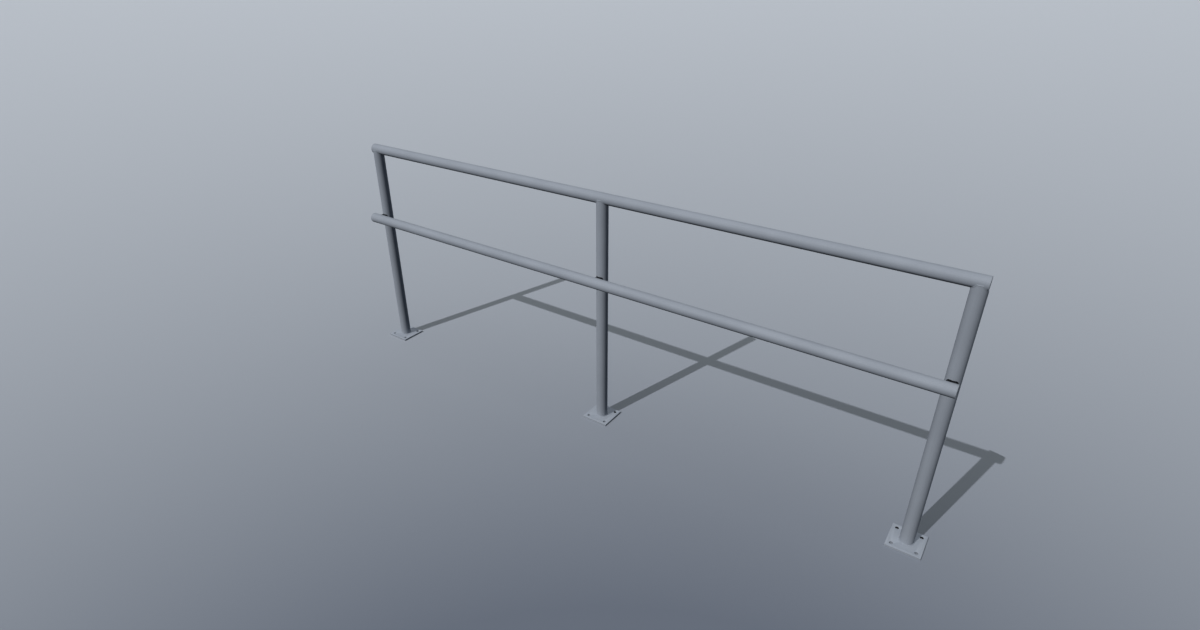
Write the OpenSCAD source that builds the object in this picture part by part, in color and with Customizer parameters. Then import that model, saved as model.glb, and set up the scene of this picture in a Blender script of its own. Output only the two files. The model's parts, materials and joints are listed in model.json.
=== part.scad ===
// A straight two-bay handrail of round steel tube, made to be bolted to a flat floor.
// Three posts stand on square base plates and carry the top rail on coped saddles.
// The mid rail runs in front of the posts on short dark stand-off stubs.
// Every joint is welded, and caps close the four ends of the rails.
// X runs along the rails, -Y is the side of the mid rail, and Z is up. The origin is
// on the underside of the middle base plate, at its centre. All sizes are in millimetres.

/* [Layout] */
// Distance from the centre of one post to the next
bay = 1300; // [900:50:1600]
// Height of the top rail's centre line above the floor
top_rail_h = 1008; // [900:1:1100]
// Height of the mid rail's centre line above the floor
mid_rail_h = 680; // [450:5:760]
// Distance of the mid rail's centre line in front of the posts' centre lines
mid_rail_offset = 65; // [60:1:90]
// Length of both rails past the centre lines of the outer posts
rail_reach = 23; // [23:1:120]

/* [Tubes] */
// Outside diameter of the posts
post_d = 48.3; // [47:0.1:51]
// Wall thickness of the posts
post_wall = 3.2; // [2.6:0.1:4]
// Outside diameter of both rails
rail_d = 44.5; // [43:0.1:46]
// Wall thickness of both rails
rail_wall = 2.6; // [2:0.1:3.2]
// Width of the stand-off stubs, which are cut from flat bar with round edges
stub_w = 32; // [24:1:38]
// Height of the stubs
stub_h = 16; // [12:1:20]

/* [Base plates] */
// Side of each square plate
plate_w = 120; // [110:1:160]
// Thickness of the plates
plate_t = 8; // [6:1:12]
// Distance between the bolt holes, both ways
bolt_pitch = 84; // [80:1:90]
// Diameter of the bolt holes
bolt_hole_d = 12; // [9:1:14]

/* [Welds and caps] */
// Leg of the weld round the foot of each post
foot_weld = 3; // [2.5:0.5:6]
// Leg of the weld round the saddle at the top of each post
saddle_weld = 3; // [2:0.5:4]
// Leg of the welds at both ends of each stub
stub_weld = 2; // [1:0.5:3]
// Thickness of an end cap's head
cap_t = 3; // [2:0.5:5]
// Bevel round the edge of an end cap's head
cap_bevel = 0.8; // [0.4:0.1:1.2]
// Depth of an end cap's plug inside its rail
cap_plug = 10; // [6:1:20]

/* [Hidden] */
post_r = post_d / 2;
rail_r = rail_d / 2;
// A stub's round edges, and how far their centres lie to either side
stub_r = stub_h / 2;
stub_reach = stub_w / 2 - stub_r;
left = -bay;
middle = 0;
right = bay;
// The rails' tube stops where the heads of the caps begin
tube_half = bay + rail_reach - cap_t;
// The saddle's ears stop just below the top rail's centre line
saddle_top = top_rail_h - 4;
// The weld rises a little over the ears
saddle_weld_top = saddle_top + 2;
// Gap between a cap's plug and the bore that it is pushed into
plug_gap = 0.2;
// Extra length that carries a cutter past the face it cuts
past = 1;
steel_grey = [0.60, 0.63, 0.67];
weld_grey = [0.54, 0.57, 0.61];
cap_grey = [0.56, 0.59, 0.63];
dark_grey = [0.12, 0.13, 0.15];
$fn = 96;

// A rod on the centre line of the top rail
module top_rail_rod(r, half) {
    translate([-half, 0, top_rail_h])
        rotate([0, 90, 0])
            cylinder(r = r, h = 2 * half);
}

// A rod on the centre line of the mid rail
module mid_rail_rod(r, half) {
    translate([-half, -mid_rail_offset, mid_rail_h])
        rotate([0, 90, 0])
            cylinder(r = r, h = 2 * half);
}

// An upright rod on the centre line of the post at x
module post_rod(x, r, low, high) {
    translate([x, 0, low])
        cylinder(r = r, h = high - low);
}

// A level bar from the mid rail's centre line back to the post at x, flat above and below
// and round at both edges; r is the radius of the edges
module stub_bar(x, r) {
    translate([x, 0, mid_rail_h])
        rotate([90, 0, 0]) {
            for (side = [-1, 1])
                translate([side * stub_reach, 0, 0])
                    cylinder(r = r, h = mid_rail_offset);
            translate([-stub_reach, -r, 0])
                cube([2 * stub_reach, 2 * r, mid_rail_offset]);
        }
}

// Square plate with four bolt holes; the post stands in its middle
module base_plate(x) {
    color(steel_grey)
        difference() {
            translate([x - plate_w / 2, -plate_w / 2, 0])
                cube([plate_w, plate_w, plate_t]);
            for (side_x = [-1, 1], side_y = [-1, 1])
                translate([x + side_x * bolt_pitch / 2, side_y * bolt_pitch / 2, -past])
                    cylinder(d = bolt_hole_d, h = plate_t + 2 * past);
        }
}

// Upright tube, its top coped to the round of the top rail
module post(x) {
    color(steel_grey)
        difference() {
            post_rod(x, post_r, plate_t, saddle_top);
            post_rod(x, post_r - post_wall, plate_t - past, saddle_top + past);
            top_rail_rod(rail_r, 2 * bay);
        }
}

// Fillet round the foot of a post
module foot_fillet(x) {
    color(weld_grey)
        translate([x, 0, plate_t])
            rotate_extrude()
                polygon([
                    [post_r, 0],
                    [post_r + foot_weld, 0],
                    [post_r + foot_weld * 0.62, foot_weld * 0.62],
                    [post_r, foot_weld]
                ]);
}

// Long straight tube of the top rail
module top_rail() {
    color(steel_grey)
        difference() {
            top_rail_rod(rail_r, tube_half);
            top_rail_rod(rail_r - rail_wall, tube_half + past);
        }
}

// Bead in the corner between a post and the top rail, and over the saddle's ears
module saddle_bead(x) {
    color(weld_grey)
        difference() {
            intersection() {
                post_rod(x, post_r + saddle_weld, plate_t, saddle_weld_top);
                top_rail_rod(rail_r + saddle_weld, tube_half);
            }
            post_rod(x, post_r, plate_t - past, saddle_top);
            top_rail_rod(rail_r, tube_half + past);
        }
}

// Long straight tube of the mid rail
module mid_rail() {
    color(steel_grey)
        difference() {
            mid_rail_rod(rail_r, tube_half);
            mid_rail_rod(rail_r - rail_wall, tube_half + past);
        }
}

// Cap pushed into a rail: a bevelled head and a plug, side -1 at the left and 1 at the right
module end_cap(side, y, z) {
    plug_r = rail_r - rail_wall - plug_gap;
    color(cap_grey)
        translate([side * tube_half, y, z])
            rotate([0, side * 90, 0])
                rotate_extrude()
                    polygon([
                        [0, -cap_plug],
                        [plug_r - cap_bevel, -cap_plug],
                        [plug_r, cap_bevel - cap_plug],
                        [plug_r, 0],
                        [rail_r, 0],
                        [rail_r, cap_t - cap_bevel],
                        [rail_r - cap_bevel, cap_t],
                        [0, cap_t]
                    ]);
}

// Short solid bar between a post and the mid rail, coped to the round of both
module stub(x) {
    color(dark_grey)
        difference() {
            stub_bar(x, stub_r);
            post_rod(x, post_r, plate_t, saddle_top);
            mid_rail_rod(rail_r, tube_half);
        }
}

// Bead round the stub's end on the post
module stub_post_bead(x) {
    color(dark_grey)
        difference() {
            intersection() {
                stub_bar(x, stub_r + stub_weld);
                post_rod(x, post_r + stub_weld, plate_t, saddle_top);
            }
            stub_bar(x, stub_r);
            post_rod(x, post_r, plate_t - past, saddle_top + past);
        }
}

// Bead round the stub's end on the mid rail
module stub_rail_bead(x) {
    color(dark_grey)
        difference() {
            intersection() {
                stub_bar(x, stub_r + stub_weld);
                mid_rail_rod(rail_r + stub_weld, tube_half);
            }
            stub_bar(x, stub_r);
            mid_rail_rod(rail_r, tube_half + past);
        }
}

base_plate(left);  // base_plate_left
base_plate(middle);  // base_plate_middle
base_plate(right);  // base_plate_right
post(left);  // post_left
post(middle);  // post_middle
post(right);  // post_right
foot_fillet(left);  // foot_weld_left
foot_fillet(middle);  // foot_weld_middle
foot_fillet(right);  // foot_weld_right
top_rail();
end_cap(-1, 0, top_rail_h);  // top_cap_left
end_cap(1, 0, top_rail_h);  // top_cap_right
saddle_bead(left);  // saddle_weld_left
saddle_bead(middle);  // saddle_weld_middle
saddle_bead(right);  // saddle_weld_right
mid_rail();
end_cap(-1, -mid_rail_offset, mid_rail_h);  // mid_cap_left
end_cap(1, -mid_rail_offset, mid_rail_h);  // mid_cap_right
stub(left);  // stub_left
stub(middle);  // stub_middle
stub(right);  // stub_right
stub_post_bead(left);  // stub_post_weld_left
stub_post_bead(middle);  // stub_post_weld_middle
stub_post_bead(right);  // stub_post_weld_right
stub_rail_bead(left);  // stub_rail_weld_left
stub_rail_bead(middle);  // stub_rail_weld_middle
stub_rail_bead(right);  // stub_rail_weld_right
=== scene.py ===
# %% [markdown]
# # A two-bay handrail of coated steel tube
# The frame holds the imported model: posts, rails, plates, caps, welds and stubs at their
# real size, in metres. This lesson keeps the straight tubes as they are, remodels the
# small pieces that deserve softer edges or a real weld's ripple, and gives every
# surface its coat.

import json
import math
import random

import bmesh
import bpy
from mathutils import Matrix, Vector


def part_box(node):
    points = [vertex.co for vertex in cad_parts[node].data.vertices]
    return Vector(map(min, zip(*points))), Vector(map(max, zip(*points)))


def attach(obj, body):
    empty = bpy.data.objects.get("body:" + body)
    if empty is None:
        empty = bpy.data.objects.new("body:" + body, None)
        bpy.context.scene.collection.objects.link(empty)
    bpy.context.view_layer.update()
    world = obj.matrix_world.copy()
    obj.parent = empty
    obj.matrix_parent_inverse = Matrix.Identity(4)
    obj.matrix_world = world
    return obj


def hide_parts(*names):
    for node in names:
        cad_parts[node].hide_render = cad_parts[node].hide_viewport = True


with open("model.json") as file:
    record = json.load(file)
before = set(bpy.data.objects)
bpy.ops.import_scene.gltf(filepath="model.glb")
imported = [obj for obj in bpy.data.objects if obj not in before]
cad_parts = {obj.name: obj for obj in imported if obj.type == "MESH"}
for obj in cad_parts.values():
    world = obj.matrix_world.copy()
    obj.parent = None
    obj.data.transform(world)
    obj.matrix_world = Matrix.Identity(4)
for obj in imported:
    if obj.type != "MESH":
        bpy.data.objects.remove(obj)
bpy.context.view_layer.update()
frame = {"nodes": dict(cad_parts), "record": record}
nodes = frame["nodes"]

# %% [markdown]
# ## Sizes
# Every place comes from the nodes' boxes and the bolt mounts, so the new pieces land
# where the real ones sit. A post's box gives its centre and radius, a rail's box gives
# its axis, and the plates' bolt pattern gives the holes.

# %% Measure the tubes, the plates and the holes
SIDES = ("left", "middle", "right")
OUTER = ("left", "right")


def centre(node):
    """The middle of the node's box."""
    low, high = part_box(node)
    return (low + high) / 2


def extent(node):
    """The node's size along x, y and z."""
    low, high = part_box(node)
    return high - low


POST_R = extent("post_middle").x / 2
RAIL_R = extent("top_rail").y / 2
STUB_W = extent("stub_middle").x
STUB_H = extent("stub_middle").z
PLATE_W = extent("base_plate_middle").x
PLATE_T = extent("base_plate_middle").z
TUBE_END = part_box("top_rail")[1].x
CAP_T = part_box("top_cap_right")[1].x - TUBE_END
CAP_PLUG = TUBE_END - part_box("top_cap_right")[0].x
EAR_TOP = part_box("post_middle")[1].z
bolts = next(m for m in frame["record"]["mounts"] if m["name"] == "base_middle_bolts")
HOLE_PITCH = bolts["dims"]["spacing_x_mm"] / 1000
HOLE_R = bolts["dims"]["hole_r_mm"] / 1000
post_x = {side: centre("post_" + side).x for side in SIDES}
top_axis = centre("top_rail")
mid_axis = centre("mid_rail")
print("post radius", round(POST_R, 5), "rail radius", round(RAIL_R, 5))
print("stub", round(STUB_W, 4), "wide", round(STUB_H, 4), "high")
print("posts at", {side: round(x, 3) for side, x in post_x.items()})
print("hole pitch", HOLE_PITCH, "hole radius", HOLE_R)

# %% [markdown]
# ## Camera
# The view looks down from above eye height, from the front and past the right-hand end,
# so the near post looks tall and the far one short. A wide lens gives that strong
# perspective. The lens is set against the sensor's width, the long side of the view.

# %% Place the camera
camera_data = bpy.data.cameras.new("camera")
camera_data.sensor_width = 36
camera_data.lens = 20.25
camera_data.clip_start = 0.05
camera_data.clip_end = 300
camera = bpy.data.objects.new("camera", camera_data)
camera.location = (1.405, -2.027, 1.815)
camera.rotation_euler = (math.radians(62.07), 0, math.radians(34.94))
bpy.context.scene.collection.objects.link(camera)
bpy.context.scene.camera = camera
bpy.context.scene.view_settings.view_transform = "Standard"
print("camera", tuple(round(v, 3) for v in camera.location))

# %% [markdown]
# ## Working by hand, in code
# Each piece is made as it would be with the mouse: add a primitive, select some faces or
# edges, run an operator. An operator works on all that is selected, and the loaded nodes
# come in selected, so every step starts by selecting one object and nothing else. A
# finished piece keeps its object at the origin, with its place in its mesh, as the nodes
# have it.

# %% Helpers for selecting
def select_only(piece):
    """Select this object alone and make it active."""
    bpy.ops.object.select_all(action="DESELECT")
    piece.select_set(True)
    bpy.context.view_layer.objects.active = piece


def settle(piece):
    """Move the piece's place, turn and scale into its mesh."""
    select_only(piece)
    bpy.ops.object.transform_apply(location=True, rotation=True, scale=True)


def pick(piece, kind, test):
    """In edit mode, select the faces or edges that pass the test, and count them."""
    bpy.ops.mesh.select_mode(type=kind)
    bpy.ops.mesh.select_all(action="DESELECT")
    mesh = bmesh.from_edit_mesh(piece.data)
    parts = mesh.faces if kind == "FACE" else mesh.edges
    chosen = [part for part in parts if test(part)]
    for part in chosen:
        part.select_set(True)
    mesh.select_flush_mode()
    bmesh.update_edit_mesh(piece.data)
    return len(chosen)


print("selecting helpers ready")

# %% Helpers for tidying, copying and counting
SAME_POINT = 1e-6


def tidy_normals(piece):
    """Merge doubled points and turn every face outwards."""
    select_only(piece)
    bpy.ops.object.mode_set(mode="EDIT")
    bpy.ops.mesh.select_all(action="SELECT")
    bpy.ops.mesh.remove_doubles(threshold=SAME_POINT)
    bpy.ops.mesh.normals_make_consistent(inside=False)
    bpy.ops.object.mode_set(mode="OBJECT")


def copy_to(piece, name, shift):
    """A copy with a mesh of its own, moved along by the shift."""
    select_only(piece)
    bpy.ops.object.duplicate(linked=False)
    twin = bpy.context.object
    twin.name = name
    twin.data.name = name
    bpy.ops.transform.translate(value=shift)
    settle(twin)
    return twin


def triangles(piece):
    """How many triangles the piece's faces make."""
    return sum(len(face.vertices) - 2 for face in piece.data.polygons)


pieces = {}
print("points closer than", SAME_POINT, "m are merged")

# %% [markdown]
# ## Base plates
# A real base plate is cut from flat bar, drilled at its four corners, and lightly
# dressed so that no edge is sharp under the coat. A cube gives the blank, four cylinders
# drill it with a Boolean modifier, and one bevel on every sharp edge breaks the outline
# and the mouths of the holes together. It could also be made by bridging loops in the
# face, but drilling is how the real one is made, and it keeps the holes round. The edges
# that lie on the floor stay sharp, so that no gap of light shows under the plate.

# %% Cut and drill one plate
bpy.ops.object.select_all(action="DESELECT")
bpy.ops.mesh.primitive_cube_add(
    size=1,
    location=(0, 0, PLATE_T / 2),
    scale=(PLATE_W, PLATE_W, PLATE_T),
)
plate = bpy.context.object
plate.name = "plate_middle"
settle(plate)
for side_x in (-1, 1):
    for side_y in (-1, 1):
        place = (side_x * HOLE_PITCH / 2, side_y * HOLE_PITCH / 2, PLATE_T / 2)
        bpy.ops.mesh.primitive_cylinder_add(
            vertices=48,
            radius=HOLE_R,
            depth=3 * PLATE_T,
            location=place,
        )
        drill = bpy.context.object
        select_only(plate)
        hole = plate.modifiers.new("drill", "BOOLEAN")
        hole.operation = "DIFFERENCE"
        hole.solver = "EXACT"
        hole.object = drill
        bpy.ops.object.modifier_apply(modifier=hole.name)
        bpy.data.objects.remove(drill, do_unlink=True)
print("plate blank with", len(plate.data.polygons), "faces")

# %% Break the edges
EDGE_BREAK = 0.0008
SHARP_ANGLE = 0.9
ON_FLOOR = 0.0001


def breaks(edge):
    """True for a sharp edge that doesn't lie on the floor."""
    return edge.calc_face_angle() > SHARP_ANGLE and max(v.co.z for v in edge.verts) > ON_FLOOR


select_only(plate)
bpy.ops.object.mode_set(mode="EDIT")
sharp = pick(plate, "EDGE", breaks)
bpy.ops.mesh.bevel(offset=EDGE_BREAK, segments=2, affect="EDGES", clamp_overlap=True)
bpy.ops.object.mode_set(mode="OBJECT")
tidy_normals(plate)
bpy.ops.object.shade_smooth_by_angle(angle=math.radians(25))
print("plate edges broken:", sharp, "triangles", triangles(plate))

# %% [markdown]
# The coat wears thin first where the plate's edges are knocked in handling. The walls of
# the holes take painted shade, full in the back holes and a quarter as deep in the front
# ones. The plate remembers both kinds of face in attributes, so the finish can find them
# later without any guessing.

# %% Mark the broken edges and the holes' walls, and copy the plate
# How deep the painted shade in the holes is: full at the back, a quarter at the front
SQUARE_ON = 0.999
BACK_HOLE_SHADE = 1.0
FRONT_HOLE_SHADE = 0.25

edge_mark = plate.data.attributes.new("edge", "FLOAT", "CORNER")
hole_shade_mark = plate.data.attributes.new("bore", "FLOAT", "CORNER")
for face in plate.data.polygons:
    slanted = max(abs(v) for v in face.normal) < SQUARE_ON
    reach = max(abs(face.center.x), abs(face.center.y))
    on_outline = slanted and reach > PLATE_W / 2 - 2 * EDGE_BREAK
    in_hole = slanted and not on_outline
    # The weight of painted shade that this hole's wall takes
    hole_shade = BACK_HOLE_SHADE if face.center.y > 0 else FRONT_HOLE_SHADE
    for corner in face.loop_indices:
        edge_mark.data[corner].value = float(on_outline)
        hole_shade_mark.data[corner].value = hole_shade if in_hole else 0.0
pieces["plate_middle"] = plate
for side in OUTER:
    pieces["plate_" + side] = copy_to(plate, "plate_" + side, (post_x[side], 0, 0))
print("plates", [name for name in pieces if name.startswith("plate")])

# %% [markdown]
# ## End caps
# Each rail end is closed by a turned cap: a flush head with a softly crowned face and a
# plug that goes down the bore. A cylinder gives the head. Two insets pushed outwards
# crown its face, a bevel rounds its rim, and the plug is an inset and an extrusion of
# the inner face. A fine bevel where head meets tube leaves the hairline seam that a
# fitted cap shows.

# %% Turn one cap
CROWN = 0.0004
PLUG_INSET = 0.0028
PLUG_BEVEL = 0.001
CROWN_RINGS = ((0.006, 0.6), (0.007, 0.4))
BIG_FACE = 0.0001
SAME_PLACE = 0.00001
ALONG_X = (0, math.pi / 2, 0)


def faces_along_x(sign):
    """The cap's flat face towards +X or -X, without the narrow faces round it."""
    return lambda face: face.normal.x * sign > SQUARE_ON and face.calc_area() > BIG_FACE


head_t = CAP_T - CROWN
bpy.ops.object.select_all(action="DESELECT")
bpy.ops.mesh.primitive_cylinder_add(
    vertices=96,
    radius=RAIL_R,
    depth=head_t,
    location=(TUBE_END + head_t / 2, top_axis.y, top_axis.z),
    rotation=ALONG_X,
)
cap = bpy.context.object
cap.name = "top_cap_end_right"
settle(cap)
bpy.ops.object.mode_set(mode="EDIT")
pick(cap, "FACE", faces_along_x(-1))
bpy.ops.mesh.inset(thickness=PLUG_INSET)
bpy.ops.mesh.extrude_region_move(TRANSFORM_OT_translate={"value": (-CAP_PLUG, 0, 0)})
plug_end = TUBE_END - CAP_PLUG
pick(cap, "EDGE", lambda e: all(abs(v.co.x - plug_end) < SAME_PLACE for v in e.verts))
bpy.ops.mesh.bevel(offset=PLUG_BEVEL, segments=2, affect="EDGES")
pick(cap, "FACE", faces_along_x(1))
for ring, share in CROWN_RINGS:
    bpy.ops.mesh.inset(thickness=ring)
    bpy.ops.transform.translate(value=(CROWN * share, 0, 0))
print("cap roughed out, plug radius", round(RAIL_R - PLUG_INSET, 5))

# %% Round its rims
RIM_ROUND = 0.0009
SEAM = 0.00025


def rim_at(x):
    """A test for edges of the head's outer circle at this x."""
    def test(edge):
        radii = [math.hypot(v.co.y - top_axis.y, v.co.z - top_axis.z) for v in edge.verts]
        at_x = all(abs(v.co.x - x) < SAME_PLACE for v in edge.verts)
        return at_x and min(radii) > RAIL_R - SAME_PLACE
    return test


outer = pick(cap, "EDGE", rim_at(TUBE_END + head_t))
bpy.ops.mesh.bevel(offset=RIM_ROUND, segments=4, affect="EDGES")
inner = pick(cap, "EDGE", rim_at(TUBE_END))
bpy.ops.mesh.bevel(offset=SEAM, segments=1, affect="EDGES")
bpy.ops.object.mode_set(mode="OBJECT")
tidy_normals(cap)
bpy.ops.object.shade_smooth_by_angle(angle=math.radians(35))
print("rims", outer, inner, "triangles", triangles(cap))

# %% [markdown]
# The other three caps are the same turned piece. The mid rail's cap is a straight copy,
# and the left-hand caps are mirrored, which turns a mesh inside out, so their normals
# are worked out again.

# %% Copy the cap to the other three ends
def mirrored(piece, name):
    """A copy on the other side of the middle post."""
    twin = copy_to(piece, name, (0, 0, 0))
    bpy.ops.transform.resize(value=(-1, 1, 1), center_override=(0, 0, 0))
    settle(twin)
    tidy_normals(twin)
    return twin


down_to_mid = mid_axis - top_axis
pieces["top_cap_end_right"] = cap
pieces["mid_cap_end_right"] = copy_to(cap, "mid_cap_end_right", (0, down_to_mid.y, down_to_mid.z))
pieces["top_cap_end_left"] = mirrored(cap, "top_cap_end_left")
pieces["mid_cap_end_left"] = mirrored(pieces["mid_cap_end_right"], "mid_cap_end_left")
print("caps", [name for name in pieces if "cap_end" in name])

# %% [markdown]
# ## Weld beads
# Every joint is welded all round. A bead is laid as a row of small overlapping puddles,
# and the ripples still show through the coat. The path of a bead is an outline dropped
# on to the tube that it meets: a Shrinkwrap modifier does the dropping, on to a helper rod
# that is then thrown away. The path becomes a curve, its thickness rises and falls with
# each puddle, and the curve's round section becomes the bead. A plain ring would be
# simpler, but it would look like a rubber seal.

# %% A helper that turns a path into a bead
PUDDLE = 0.0023
STEPS = 6
THINNEST = 0.86
UNEVEN = 0.05


def bead(path, name, leg, seed):
    """Sweep a rippled round section along a closed path of edges."""
    chance = random.Random(seed)
    select_only(path)
    bpy.ops.object.convert(target="CURVE")
    curve = bpy.context.object
    curve.data.dimensions = "3D"
    curve.data.bevel_depth = leg
    curve.data.bevel_resolution = 2
    points = curve.data.splines[0].points
    puddles = len(points) // STEPS
    swell = [1 + chance.uniform(-UNEVEN, UNEVEN) for _ in range(puddles)]
    for number, point in enumerate(points):
        puddle = min(number // STEPS, puddles - 1)
        along = (number % STEPS) / STEPS
        hump = THINNEST + (1 - THINNEST) * math.sin(math.pi * along)
        point.radius = swell[puddle] * hump
    bpy.ops.object.convert(target="MESH")
    ring = bpy.context.object
    ring.name = name
    ring.data.name = name
    settle(ring)
    tidy_normals(ring)
    bpy.ops.object.shade_smooth()
    print(name, "puddles", puddles, "triangles", triangles(ring))
    return ring


print("puddle", PUDDLE * 1000, "mm, in", STEPS, "steps")

# %% A helper that draws a round path
def ring_path(radius, location, rotation):
    """A circle with a whole number of puddles round it."""
    count = STEPS * round(2 * math.pi * radius / PUDDLE)
    bpy.ops.object.select_all(action="DESELECT")
    bpy.ops.mesh.primitive_circle_add(
        vertices=count,
        radius=radius,
        location=location,
        rotation=rotation,
    )
    path = bpy.context.object
    settle(path)
    return path


print("round paths are divided in steps of", round(PUDDLE / STEPS * 1000, 2), "mm")

# %% [markdown]
# The foot's bead needs no dropping: it lies flat in the corner between post and plate.

# %% Lay the beads round the feet
FOOT_LEG = 0.0026
UPRIGHT = (0, 0, 0)

foot_path = ring_path(POST_R, (0, 0, PLATE_T), UPRIGHT)
foot = bead(foot_path, "foot_bead_middle", FOOT_LEG, 11)
pieces["foot_bead_middle"] = foot
for side in OUTER:
    pieces["foot_bead_" + side] = copy_to(foot, "foot_bead_" + side, (post_x[side], 0, 0))
print("foot beads", [name for name in pieces if name.startswith("foot_bead")])

# %% [markdown]
# The saddle's bead follows the corner between the post's coped top and the round of the
# rail, and where the post's two ears stand up beside the rail it runs over their tops.
# A circle at the ears' level, squashed a little from front to back, is dropped on to a rod
# of the rail's size. Where the circle is wider than the rail it misses the rod and stays at
# the ears' level, just as wanted.

# %% A helper that drops a path on to a rod
ROD_LENGTH = 0.4


def drop(path, rod_radius, rod_place, rod_turn, axis, forwards):
    """Shrinkwrap the path along one axis on to a rod, then remove the rod."""
    bpy.ops.mesh.primitive_cylinder_add(
        vertices=256,
        radius=rod_radius,
        depth=ROD_LENGTH,
        location=rod_place,
        rotation=rod_turn,
    )
    rod = bpy.context.object
    select_only(path)
    wrap = path.modifiers.new("drop", "SHRINKWRAP")
    wrap.wrap_method = "PROJECT"
    wrap.target = rod
    wrap.use_project_x = axis == "X"
    wrap.use_project_y = axis == "Y"
    wrap.use_project_z = axis == "Z"
    wrap.use_positive_direction = forwards
    wrap.use_negative_direction = not forwards
    bpy.ops.object.modifier_apply(modifier=wrap.name)
    bpy.data.objects.remove(rod, do_unlink=True)


print("helper rods are", ROD_LENGTH, "m long")

# %% Lay the bead of a saddle
SADDLE_LEG = 0.0021
SQUASH = 0.965

saddle_path = ring_path(POST_R, (0, 0, EAR_TOP), UPRIGHT)
bpy.ops.transform.resize(value=(1, SQUASH, 1), center_override=(0, 0, EAR_TOP))
settle(saddle_path)
drop(saddle_path, RAIL_R, (0, top_axis.y, top_axis.z), ALONG_X, "Z", False)
saddle = bead(saddle_path, "saddle_bead_middle", SADDLE_LEG, 23)
pieces["saddle_bead_middle"] = saddle
print("saddle bead spans", [round(v, 4) for v in saddle.dimensions])

# %% [markdown]
# At the outer posts the rail's tube ends inside the width of the post, where the cap
# begins, so the bead stops there too. The copy is cut off square with a bisect that
# fills the cut.

# %% Trim the saddle beads of the outer posts
CAP_GAP = 0.0004

for side, sign in (("left", -1), ("right", 1)):
    name = "saddle_bead_" + side
    twin = copy_to(saddle, name, (post_x[side], 0, 0))
    bpy.ops.object.mode_set(mode="EDIT")
    bpy.ops.mesh.select_all(action="SELECT")
    bpy.ops.mesh.bisect(
        plane_co=(sign * (TUBE_END - CAP_GAP), 0, 0),
        plane_no=(sign, 0, 0),
        use_fill=True,
        clear_outer=True,
    )
    bpy.ops.object.mode_set(mode="OBJECT")
    tidy_normals(twin)
    pieces[name] = twin
    print(name, "ends at", round(max(abs(v.co.x) for v in twin.data.vertices), 4))

# %% [markdown]
# A stub is a short piece of flat bar with round edges, and it meets two rounds: the post
# behind it and the rail in front of it. The path of its beads starts as a circle. The
# two halves are drawn apart to the bar's width, and the straight stretches between them
# are divided as finely as the rounds. The outline is then dropped backwards on to the
# post, and forwards on to the rail.

# %% A helper that draws the outline of the stub's bar
STUB_LEG = 0.0016
ALONG_Y = (math.pi / 2, 0, 0)


def bar_path(y):
    """The bar's outline, upright at this depth, level with the mid rail."""
    path = ring_path(STUB_H / 2, (0, y, mid_axis.z), ALONG_Y)
    apart = (STUB_W - STUB_H) / 2
    bpy.ops.object.mode_set(mode="EDIT")
    pick(path, "EDGE", lambda e: all(v.co.x > -SAME_PLACE for v in e.verts))
    bpy.ops.transform.translate(value=(apart, 0, 0))
    pick(path, "EDGE", lambda e: all(v.co.x < -SAME_PLACE for v in e.verts))
    bpy.ops.transform.translate(value=(-apart, 0, 0))
    pick(path, "EDGE", lambda e: e.calc_length() > apart)
    bpy.ops.mesh.subdivide(number_cuts=STEPS * round(2 * apart / PUDDLE))
    bpy.ops.object.mode_set(mode="OBJECT")
    return path


print("bead leg", STUB_LEG * 1000, "mm")

# %% Lay the beads at both ends of the stubs
back_path = bar_path(mid_axis.y)
drop(back_path, POST_R, (0, 0, mid_axis.z), UPRIGHT, "Y", True)
on_post = bead(back_path, "stub_post_bead_middle", STUB_LEG, 37)
front_path = bar_path(0)
drop(front_path, RAIL_R, (0, mid_axis.y, mid_axis.z), ALONG_X, "Y", False)
on_rail = bead(front_path, "stub_rail_bead_middle", STUB_LEG, 41)
pieces["stub_post_bead_middle"] = on_post
pieces["stub_rail_bead_middle"] = on_rail
for side in OUTER:
    shift = (post_x[side], 0, 0)
    pieces["stub_post_bead_" + side] = copy_to(on_post, "stub_post_bead_" + side, shift)
    pieces["stub_rail_bead_" + side] = copy_to(on_rail, "stub_rail_bead_" + side, shift)
print("pieces made", len(pieces), "triangles", sum(triangles(piece) for piece in pieces.values()))

# %% [markdown]
# ## Each piece takes its node's place
# A new piece rides on the handrail's one body and hides the node that it stands for.

# %% Let the pieces replace their nodes
STANDS_FOR = {
    "plate_": ("base_plate_", "steel_grey"),
    "foot_bead_": ("foot_weld_", "weld_grey"),
    "saddle_bead_": ("saddle_weld_", "weld_grey"),
    "stub_post_bead_": ("stub_post_weld_", "stub_dark"),
    "stub_rail_bead_": ("stub_rail_weld_", "stub_dark"),
    "top_cap_end_": ("top_cap_", "cap_grey"),
    "mid_cap_end_": ("mid_cap_", "cap_grey"),
}
for name, piece in pieces.items():
    stem = next(stem for stem in STANDS_FOR if name.startswith(stem))
    node_stem, finish = STANDS_FOR[stem]
    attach(piece, "root")
    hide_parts(node_stem + name[len(stem):])
print("replaced", len(pieces), "nodes, kept", len(nodes) - len(pieces))

# %% [markdown]
# ## The coat
# The whole rail is sprayed light grey. Close to, a sprayed coat is never quite even: it
# is a touch lighter and a touch deeper in clouds a hand wide, its skin has a fine
# orange peel, and its gloss wanders. These effects are shared by every material here,
# so each one is a node group, made once and given its own values in each material. A Mix
# node has sockets for numbers, vectors and colours one after another, so the colour ones
# are found by their places in that row.

# %% Helpers that start a node group and its patterns
def new_group(name, inputs, outputs):
    """An empty shader node group with named sockets."""
    group = bpy.data.node_groups.new(name, "ShaderNodeTree")
    for label, kind, value in inputs:
        socket = group.interface.new_socket(label, in_out="INPUT", socket_type=kind)
        socket.default_value = value
    for label, kind in outputs:
        group.interface.new_socket(label, in_out="OUTPUT", socket_type=kind)
    return group, group.nodes.new("NodeGroupInput"), group.nodes.new("NodeGroupOutput")


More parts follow.
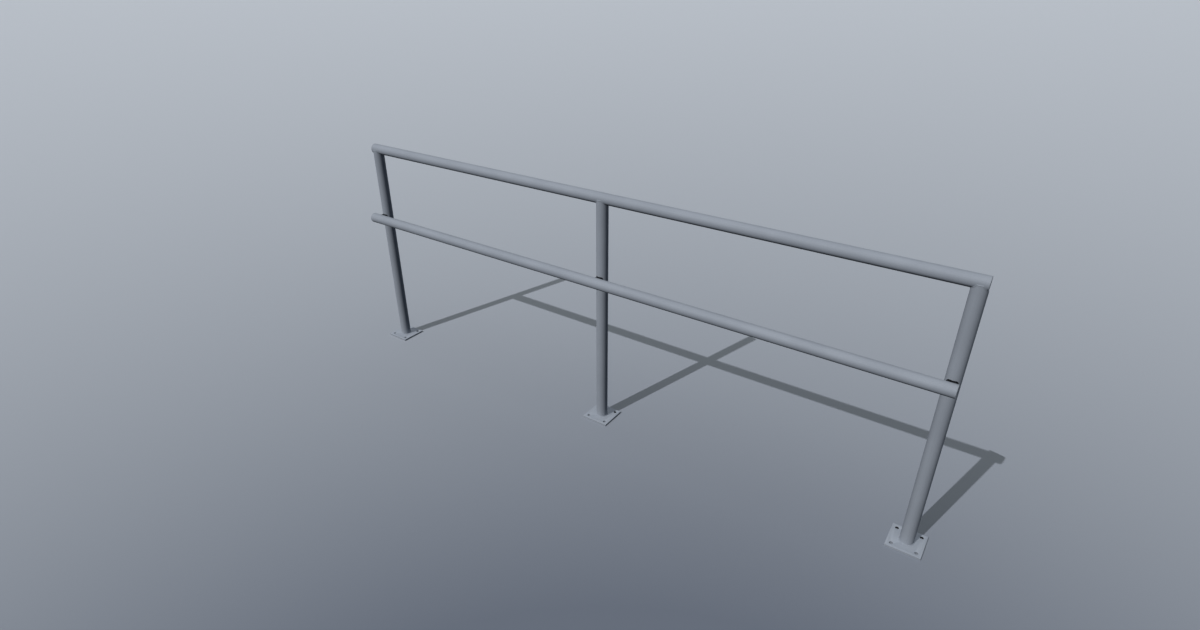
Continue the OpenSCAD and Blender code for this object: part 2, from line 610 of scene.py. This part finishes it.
def noise(tree, vector, scale, detail):
    """A noise texture read at a vector, with this many cells in a metre."""
    texture = tree.nodes.new("ShaderNodeTexNoise")
    texture.inputs["Scale"].default_value = scale
    texture.inputs["Detail"].default_value = detail
    tree.links.new(vector, texture.inputs["Vector"])
    return texture.outputs["Fac"]


def ramp(tree, value, from_low, from_high, to_low, to_high):
    """Stretch a value from one range to another, smoothly, and clamp it."""
    stretch = tree.nodes.new("ShaderNodeMapRange")
    stretch.interpolation_type = "SMOOTHSTEP"
    stretch.inputs["From Min"].default_value = from_low
    stretch.inputs["From Max"].default_value = from_high
    stretch.inputs["To Min"].default_value = to_low
    stretch.inputs["To Max"].default_value = to_high
    tree.links.new(value, stretch.inputs["Value"])
    return stretch.outputs["Result"]


print("pattern helpers ready")

# %% Helpers that join numbers and blend colours
MIX_FACTOR = 0
MIX_COLOURS = (6, 7)
MIX_RESULT = 2


def join(tree, operation, first, second):
    """One maths step on two sockets or numbers."""
    step = tree.nodes.new("ShaderNodeMath")
    step.operation = operation
    for slot_number, value in enumerate((first, second)):
        if isinstance(value, (int, float)):
            step.inputs[slot_number].default_value = value
        else:
            tree.links.new(value, step.inputs[slot_number])
    return step.outputs[0]


def blend_colour(tree, factor, first, second):
    """Mix two colours, each a socket or four numbers, by a socket."""
    mix = tree.nodes.new("ShaderNodeMix")
    mix.data_type = "RGBA"
    tree.links.new(factor, mix.inputs[MIX_FACTOR])
    for slot_number, value in zip(MIX_COLOURS, (first, second)):
        if isinstance(value, tuple):
            mix.inputs[slot_number].default_value = value
        else:
            tree.links.new(value, mix.inputs[slot_number])
    return mix.outputs[MIX_RESULT]


print("joining helpers ready")

# %% Sprayed coat: clouds of tone, wandering gloss and orange peel
CLOUDS_PER_METRE = 7
SPECKS_PER_METRE = 160
GLOSS_PER_METRE = 23
PEEL_PER_METRE = 420
WAVES_PER_METRE = 60
SPECK_DEPTH = 0.18

sprayed, enter, leave = new_group(
    "sprayed_coat",
    [
        ("Place", "NodeSocketVector", (0, 0, 0)),
        ("Light tone", "NodeSocketColor", (0.4, 0.4, 0.4, 1)),
        ("Deep tone", "NodeSocketColor", (0.3, 0.3, 0.3, 1)),
        ("Gloss low", "NodeSocketFloat", 0.4),
        ("Gloss high", "NodeSocketFloat", 0.5),
    ],
    [
        ("Colour", "NodeSocketColor"),
        ("Roughness", "NodeSocketFloat"),
        ("Height", "NodeSocketFloat"),
    ],
)
place = enter.outputs["Place"]
clouds = ramp(sprayed, noise(sprayed, place, CLOUDS_PER_METRE, 3), 0.32, 0.68, 0, 1)
specks = noise(sprayed, place, SPECKS_PER_METRE, 2)
speckle = ramp(sprayed, specks, 0.3, 0.7, -SPECK_DEPTH, SPECK_DEPTH)
tone = join(sprayed, "ADD", clouds, speckle)
light_tone = enter.outputs["Light tone"]
coat_colour = blend_colour(sprayed, tone, enter.outputs["Deep tone"], light_tone)
sprayed.links.new(coat_colour, leave.inputs["Colour"])
gloss_low = enter.outputs["Gloss low"]
span = join(sprayed, "SUBTRACT", enter.outputs["Gloss high"], gloss_low)
wander = ramp(sprayed, noise(sprayed, place, GLOSS_PER_METRE, 3), 0.35, 0.65, 0, 1)
gloss = join(sprayed, "ADD", join(sprayed, "MULTIPLY", span, wander), gloss_low)
sprayed.links.new(gloss, leave.inputs["Roughness"])
peel = noise(sprayed, place, PEEL_PER_METRE, 1)
long_wave = noise(sprayed, place, WAVES_PER_METRE, 1)
sprayed.links.new(join(sprayed, "ADD", peel, long_wave), leave.inputs["Height"])
print("group", sprayed.name)

# %% [markdown]
# Drawn tube keeps faint lines along its length, where the die and the rollers dragged.
# They are noise stretched a long way along the tube and hardly at all across it.

# %% Drawn lines along a tube
drawn, enter, leave = new_group(
    "drawn_lines",
    [
        ("Place", "NodeSocketVector", (0, 0, 0)),
        ("Stretch", "NodeSocketVector", (1, 1, 1)),
    ],
    [("Mask", "NodeSocketFloat")],
)
squeeze = drawn.nodes.new("ShaderNodeVectorMath")
squeeze.operation = "MULTIPLY"
drawn.links.new(enter.outputs["Place"], squeeze.inputs[0])
drawn.links.new(enter.outputs["Stretch"], squeeze.inputs[1])
lines = noise(drawn, squeeze.outputs[0], 1, 3)
drawn.links.new(ramp(drawn, lines, 0.4, 0.75, 0, 1), leave.inputs["Mask"])
print("group", drawn.name)

# %% [markdown]
# Floor dust settles on the plates and clings to the lowest hand's breadth of a post. Its
# mask fades with height and breaks up into patches.

# %% Dust near the floor
DUST_FULL = 0.004
DUST_TOP = 0.11
PATCHES_PER_METRE = 45

dusty, enter, leave = new_group(
    "floor_dust",
    [("Place", "NodeSocketVector", (0, 0, 0))],
    [("Mask", "NodeSocketFloat")],
)
split = dusty.nodes.new("ShaderNodeSeparateXYZ")
dusty.links.new(enter.outputs["Place"], split.inputs[0])
low_down = ramp(dusty, split.outputs["Z"], DUST_FULL, DUST_TOP, 1, 0)
blotches = noise(dusty, enter.outputs["Place"], PATCHES_PER_METRE, 5)
patches = ramp(dusty, blotches, 0.35, 0.7, 0.15, 1)
dusty.links.new(join(dusty, "MULTIPLY", low_down, patches), leave.inputs["Mask"])
print("group", dusty.name)

# %% [markdown]
# The underside of a rail is darkened with painted shade, deeper than the lamps alone give.
# The mask reads how far down the surface faces, from 0 for a side to -1 for the very
# bottom, and its edge is a little ragged.

# %% Painted shade along an underside
UNDERSIDE_SHADE_FULL = -0.72
UNDERSIDE_SHADE_STARTS = -0.36
RAGGED_PER_METRE = 30

underside_shade_group, enter, leave = new_group(
    "drip_film",
    [
        ("Place", "NodeSocketVector", (0, 0, 0)),
        ("Facing", "NodeSocketVector", (0, 0, 1)),
    ],
    [("Mask", "NodeSocketFloat")],
)
split = underside_shade_group.nodes.new("ShaderNodeSeparateXYZ")
underside_shade_group.links.new(enter.outputs["Facing"], split.inputs[0])
below = ramp(underside_shade_group, split.outputs["Z"], UNDERSIDE_SHADE_FULL, UNDERSIDE_SHADE_STARTS, 1, 0)
fringe = noise(underside_shade_group, enter.outputs["Place"], RAGGED_PER_METRE, 3)
ragged = ramp(underside_shade_group, fringe, 0.3, 0.7, 0.8, 1)
underside_shade_group.links.new(join(underside_shade_group, "MULTIPLY", below, ragged), leave.inputs["Mask"])
print("group", underside_shade_group.name)

# %% [markdown]
# ## Materials
# Every finish is the same sprayed coat with its own tone. The tubes add drawn lines in
# their own direction and the rails painted shade along their undersides, the plates add
# rubbed edges and painted shade in their holes, the beads are a little deeper in tone
# because the coat pulls away from sharp ripples, and the stubs are near black.

# %% A helper that starts a material with the sprayed coat
STEEL = {
    "light_tone": (0.37, 0.396, 0.44, 1),
    "deep_tone": (0.345, 0.37, 0.413, 1),
    "gloss_low": 0.54,
    "gloss_high": 0.62,
    "peel_strength": 0.12,
}
SHINE = 0.12
PEEL_HEIGHT = 0.0002


def start_material(name, light_tone, deep_tone, gloss_low, gloss_high, peel_strength):
    """A material with the sprayed coat on it, and the nodes that the next steps need."""
    material = bpy.data.materials.new(name)
    material.use_nodes = True
    tree = material.node_tree
    where = tree.nodes.new("ShaderNodeTexCoord").outputs["Object"]
    skin = tree.nodes.new("ShaderNodeGroup")
    skin.node_tree = sprayed
    skin.inputs["Light tone"].default_value = light_tone
    skin.inputs["Deep tone"].default_value = deep_tone
    skin.inputs["Gloss low"].default_value = gloss_low
    skin.inputs["Gloss high"].default_value = gloss_high
    tree.links.new(where, skin.inputs["Place"])
    shader = tree.nodes["Principled BSDF"]
    shader.inputs["Specular IOR Level"].default_value = SHINE
    bump = tree.nodes.new("ShaderNodeBump")
    bump.inputs["Strength"].default_value = peel_strength
    bump.inputs["Distance"].default_value = PEEL_HEIGHT
    tree.links.new(bump.outputs["Normal"], shader.inputs["Normal"])
    return material, tree, where, skin, shader, bump


print("steel's tones", STEEL["light_tone"][:3], STEEL["deep_tone"][:3])

# %% Helpers that add a mask and finish a material
def add_mask(tree, group, where):
    """Place one of the mask groups and return it."""
    mask = tree.nodes.new("ShaderNodeGroup")
    mask.node_tree = group
    tree.links.new(where, mask.inputs["Place"])
    return mask


def finish_material(tree, skin, shader, bump, colour, roughness):
    """Join the last colour, roughness and height to the shader."""
    tree.links.new(colour, shader.inputs["Base Color"])
    tree.links.new(roughness, shader.inputs["Roughness"])
    tree.links.new(skin.outputs["Height"], bump.inputs["Height"])


print("material helpers ready")

# %% Coat for the rails and the posts
LINE_TONE = (0.31, 0.335, 0.37, 1)
# Painted shade for the undersides of the rails
UNDERSIDE_SHADE_TONE = (0.05, 0.055, 0.064, 1)
DUST_TONE = (0.385, 0.40, 0.43, 1)
DUST_DULLS = 0.5
LINES_SHOW = 0.22
LINES_DULL = 0.2
DUST_ON_POST = 0.35
LINES_PER_METRE = 240
ALONG_PER_METRE = 3
ALONG_RAIL = (ALONG_PER_METRE, LINES_PER_METRE, LINES_PER_METRE)
ALONG_POST = (LINES_PER_METRE, LINES_PER_METRE, ALONG_PER_METRE)


def tube_material(name, stretch, level):
    """Sprayed tube with drawn lines; a level one has painted shade along its underside, an
    upright one dust.
    """
    material, tree, where, skin, shader, bump = start_material(name, **STEEL)
    along = add_mask(tree, drawn, where)
    along.inputs["Stretch"].default_value = stretch
    faint = join(tree, "MULTIPLY", along.outputs["Mask"], LINES_SHOW)
    colour = blend_colour(tree, faint, skin.outputs["Colour"], LINE_TONE)
    duller = join(tree, "MULTIPLY", faint, LINES_DULL)
    roughness = join(tree, "ADD", skin.outputs["Roughness"], duller)
    # A level tube is darkened with painted shade where its surface faces down
    if level:
        underside_shade = add_mask(tree, underside_shade_group, where)
        facing = tree.nodes.new("ShaderNodeTexCoord").outputs["Normal"]
        tree.links.new(facing, underside_shade.inputs["Facing"])
        colour = blend_colour(tree, underside_shade.outputs["Mask"], colour, UNDERSIDE_SHADE_TONE)
    else:
        dust = add_mask(tree, dusty, where)
        thin = join(tree, "MULTIPLY", dust.outputs["Mask"], DUST_ON_POST)
        colour = blend_colour(tree, thin, colour, DUST_TONE)
        roughness = join(tree, "ADD", roughness, join(tree, "MULTIPLY", thin, DUST_DULLS))
    finish_material(tree, skin, shader, bump, colour, roughness)
    return material


rail_coat = tube_material("rail_coat", ALONG_RAIL, True)
post_coat = tube_material("post_coat", ALONG_POST, False)
print("materials", rail_coat.name, post_coat.name)

# %% Coat for the plates, with rubbed edges, dust and painted shade in the holes
RUBBED_TONE = (0.48, 0.50, 0.53, 1)
# Painted shade for the holes' walls
HOLE_SHADE_TONE = (0.012, 0.012, 0.012, 1)
DUST_ON_PLATE = 0.3
RUBS_PER_METRE = 120

plate_coat, tree, where, skin, shader, bump = start_material("plate_coat", **STEEL)
mark = tree.nodes.new("ShaderNodeAttribute")
mark.attribute_name = "edge"
broken = ramp(tree, noise(tree, where, RUBS_PER_METRE, 4), 0.5, 0.72, 0, 1)
rubbed = join(tree, "MULTIPLY", mark.outputs["Fac"], broken)
dust = add_mask(tree, dusty, where)
thin = join(tree, "MULTIPLY", dust.outputs["Mask"], DUST_ON_PLATE)
colour = blend_colour(tree, thin, skin.outputs["Colour"], DUST_TONE)
colour = blend_colour(tree, rubbed, colour, RUBBED_TONE)
# The holes' walls are darkened with painted shade, weighed by the bore attribute
bore = tree.nodes.new("ShaderNodeAttribute")
bore.attribute_name = "bore"
colour = blend_colour(tree, bore.outputs["Fac"], colour, HOLE_SHADE_TONE)
duller = join(tree, "MULTIPLY", thin, DUST_DULLS)
roughness = join(tree, "ADD", skin.outputs["Roughness"], duller)
finish_material(tree, skin, shader, bump, colour, roughness)
print("material", plate_coat.name)

# %% Coats for the beads, the caps and the stubs
def plain_coat(name, **finish):
    """The sprayed coat alone, in its own tones, gloss and peel."""
    material, tree, _, skin, shader, bump = start_material(name, **finish)
    finish_material(tree, skin, shader, bump, skin.outputs["Colour"], skin.outputs["Roughness"])
    return material


bead_coat = plain_coat(
    "bead_coat",
    light_tone=(0.352, 0.376, 0.415, 1),
    deep_tone=(0.318, 0.342, 0.38, 1),
    gloss_low=0.56,
    gloss_high=0.66,
    peel_strength=0.2,
)
cap_coat = plain_coat(
    "cap_coat",
    light_tone=(0.362, 0.387, 0.427, 1),
    deep_tone=(0.338, 0.362, 0.4, 1),
    gloss_low=0.5,
    gloss_high=0.58,
    peel_strength=0.08,
)
stub_coat = plain_coat(
    "stub_coat",
    light_tone=(0.006, 0.007, 0.009, 1),
    deep_tone=(0.003, 0.0035, 0.0045, 1),
    gloss_low=0.55,
    gloss_high=0.65,
    peel_strength=0.15,
)
print("materials", bead_coat.name, cap_coat.name, stub_coat.name)

# %% Dress the nodes and the pieces
COATS = {
    "plate_": plate_coat,
    "foot_bead_": bead_coat,
    "saddle_bead_": bead_coat,
    "stub_post_bead_": stub_coat,
    "stub_rail_bead_": stub_coat,
    "top_cap_end_": cap_coat,
    "mid_cap_end_": cap_coat,
    "post_": post_coat,
    "top_rail": rail_coat,
    "mid_rail": rail_coat,
    "stub_": stub_coat,
}


def dress(thing, material):
    """Give the thing this material alone."""
    thing.data.materials.clear()
    thing.data.materials.append(material)


kept = {name: node for name, node in nodes.items() if name in ("top_rail", "mid_rail")}
for side in SIDES:
    kept["post_" + side] = nodes["post_" + side]
    kept["stub_" + side] = nodes["stub_" + side]
for name, thing in list(pieces.items()) + list(kept.items()):
    stem = next(stem for stem in COATS if name.startswith(stem))
    dress(thing, COATS[stem])
print("dressed", len(pieces), "pieces and", len(kept), "nodes")

# %% [markdown]
# ## Floor and light
# The floor is wide and pale. Its tone is deepest round a point below the viewer's feet,
# and grows paler with the distance from it: a painted reflection of the sky, which a pale
# floor shows more where it is seen at a low angle. Seen directly or in a reflection it
# keeps that colour, and for the light that it throws back up it is darker, so the tubes
# keep a shaded underside.

# %% Paint for the floor
FLOOR_FAR = (0.66, 0.68, 0.739, 1)
FLOOR_NEAR = (0.174, 0.193, 0.242, 1)
FLOOR_BOUNCE = (0.03, 0.036, 0.045, 1)
NEAR_POINT = (1.4, -2.0, -1.4)
NEAR_REACH = 2.0


def seen_or_bounced(tree, seen, bounced):
    """A colour that is one thing to the camera and to gloss, and another to bounced light."""
    path = tree.nodes.new("ShaderNodeLightPath")
    either = join(tree, "MAXIMUM", path.outputs["Is Camera Ray"], path.outputs["Is Glossy Ray"])
    any_view = join(tree, "MAXIMUM", either, path.outputs["Is Transmission Ray"])
    return blend_colour(tree, any_view, bounced, seen)


floor_paint = bpy.data.materials.new("floor_pale")
floor_paint.use_nodes = True
tree = floor_paint.node_tree
floor_shader = tree.nodes["Principled BSDF"]
floor_shader.inputs["Roughness"].default_value = 0.9
floor_shader.inputs["Specular IOR Level"].default_value = 0.1
spread = tree.nodes.new("ShaderNodeVectorMath")
spread.operation = "DISTANCE"
tree.links.new(tree.nodes.new("ShaderNodeTexCoord").outputs["Object"], spread.inputs[0])
spread.inputs[1].default_value = NEAR_POINT
# Deeper near the point and paler far off: a painted reflection of the sky
nearness = join(tree, "DIVIDE", NEAR_REACH, spread.outputs["Value"])
closeness = join(tree, "MINIMUM", nearness, 1)
floor_seen = blend_colour(tree, closeness, FLOOR_FAR, FLOOR_NEAR)
tree.links.new(seen_or_bounced(tree, floor_seen, FLOOR_BOUNCE), floor_shader.inputs["Base Color"])
print("floor paint", floor_paint.name)

# %% [markdown]
# The floor is two sheets that meet along a line square to the light's way across it.
# The front one takes the rail's shadows. The one behind is lit by a lamp that casts
# none, so the longest shadows end at that line and the floor behind stays open and pale.
# It lies a hair lower and runs a little under the front one, so that no gap can show.

# %% Lay the floor
FROM_FRONT_LEFT = (0.2613, 1.0, -0.91)
SHADOWS_END = 1.109
FLOOR_WIDTH = 240
HAIR = 0.0001
TUCKED_UNDER = 0.02


def sheet(name, height, edge, keep_front):
    """Half of a wide plane, cut square to the light's way across the floor."""
    bpy.ops.object.select_all(action="DESELECT")
    bpy.ops.mesh.primitive_plane_add(size=FLOOR_WIDTH, location=(0, 0, height))
    part = bpy.context.object
    part.name = name
    settle(part)
    bpy.ops.object.mode_set(mode="EDIT")
    bpy.ops.mesh.select_all(action="SELECT")
    bpy.ops.mesh.bisect(
        plane_co=(0, edge, height),
        plane_no=(FROM_FRONT_LEFT[0], FROM_FRONT_LEFT[1], 0),
        clear_outer=keep_front,
        clear_inner=not keep_front,
    )
    bpy.ops.object.mode_set(mode="OBJECT")
    part.data.materials.append(floor_paint)
    return part


floor_front = sheet("floor_front", -HAIR, SHADOWS_END, True)
floor_behind = sheet("floor_behind", -2 * HAIR, SHADOWS_END - TUCKED_UNDER, False)
print("floor laid", [len(part.data.polygons) for part in (floor_front, floor_behind)])

# %% [markdown]
# A lamp stands high at the front left, small enough that a thin rail still draws a sharp
# band of shadow, and a wide soft one hangs overhead. The handrail and the floor stand in
# four groups, and each group has such a pair of lamps to itself:
#
# - the front sheet of the floor takes the shadows,
# - the sheet behind it takes none,
# - the plates and the beads at their feet take shadows too,
# - the tubes take none, and their lamp is a little stronger and wider, as a big soft box
#   would be, so no hard band falls from the mid rail across the posts. The one overhead
#   is weaker and narrower, so it lights the top of a rail more than the sides of a post.
#
# No lamp serves two groups. Where the groups of two lamps overlap only in part, a lamp
# can drop out of some renders and not of others. The sky looks as pale as the far floor,
# but fills the rest with very little light, and bluer, so each tube turns from light to
# dark round its girth.

# %% Helpers that hang lamps
FROM_ABOVE = (0, 0, -1)


def sun(name, towards, lit, energy, angle, colour, shadows):
    """A far lamp that shines along one direction, on one collection alone."""
    lamp_data = bpy.data.lights.new(name, "SUN")
    lamp_data.energy = energy
    lamp_data.angle = math.radians(angle)
    lamp_data.color = colour
    lamp_data.use_shadow = shadows
    lamp = bpy.data.objects.new(name, lamp_data)
    lamp.rotation_euler = Vector(towards).to_track_quat("-Z", "Y").to_euler()
    bpy.context.scene.collection.objects.link(lamp)
    lamp.light_linking.receiver_collection = lit


def light_group(name, things, main, overhead):
    """Give a group its own pair of lamps, each with energy, width, colour and shadows."""
    lit = bpy.data.collections.new(name + "_group")
    for thing in things:
        lit.objects.link(thing)
    sun(name + "_lamp", FROM_FRONT_LEFT, lit, *main)
    sun(name + "_overhead", FROM_ABOVE, lit, *overhead)


print("main lamps shine towards", FROM_FRONT_LEFT)

# %% Give each group its pair of lamps
MAIN_ENERGY = 2.09
MAIN_WIDTH = 0.5
OVERHEAD_WIDTH = 70
COOL = (0.96, 0.98, 1.0)
BLUER = (0.9, 0.95, 1.0)
GREENER = (0.96, 1.0, 0.93)

low = [piece for name, piece in pieces.items() if name.startswith(("plate_", "foot_bead_"))]
high = [piece for piece in pieces.values() if piece not in low] + list(kept.values())
light_group(
    "front_floor",
    [floor_front],
    main=(MAIN_ENERGY, MAIN_WIDTH, COOL, True),
    overhead=(0.95, OVERHEAD_WIDTH, GREENER, False),
)
light_group(
    "far_floor",
    [floor_behind],
    main=(MAIN_ENERGY, MAIN_WIDTH, COOL, False),
    overhead=(0.95, OVERHEAD_WIDTH, GREENER, False),
)
light_group(
    "plate",
    low,
    main=(MAIN_ENERGY, MAIN_WIDTH, COOL, True),
    overhead=(1.08, OVERHEAD_WIDTH, BLUER, False),
)
light_group(
    "tube",
    high,
    main=(2.25, 2.2, COOL, False),
    overhead=(0.55, 40, COOL, False),
)
print("lamps light", len(low), "low pieces and", len(high), "high ones")

# %% Paint the sky
SKY_SEEN = (0.50, 0.535, 0.59, 1)
SKY_FILL = (0.029, 0.043, 0.063, 1)

world = bpy.data.worlds.new("sky")
world.use_nodes = True
bpy.context.scene.world = world
sky = world.node_tree
background = sky.nodes["Background"]
sky.links.new(seen_or_bounced(sky, SKY_SEEN, SKY_FILL), background.inputs["Color"])
print("world", world.name)
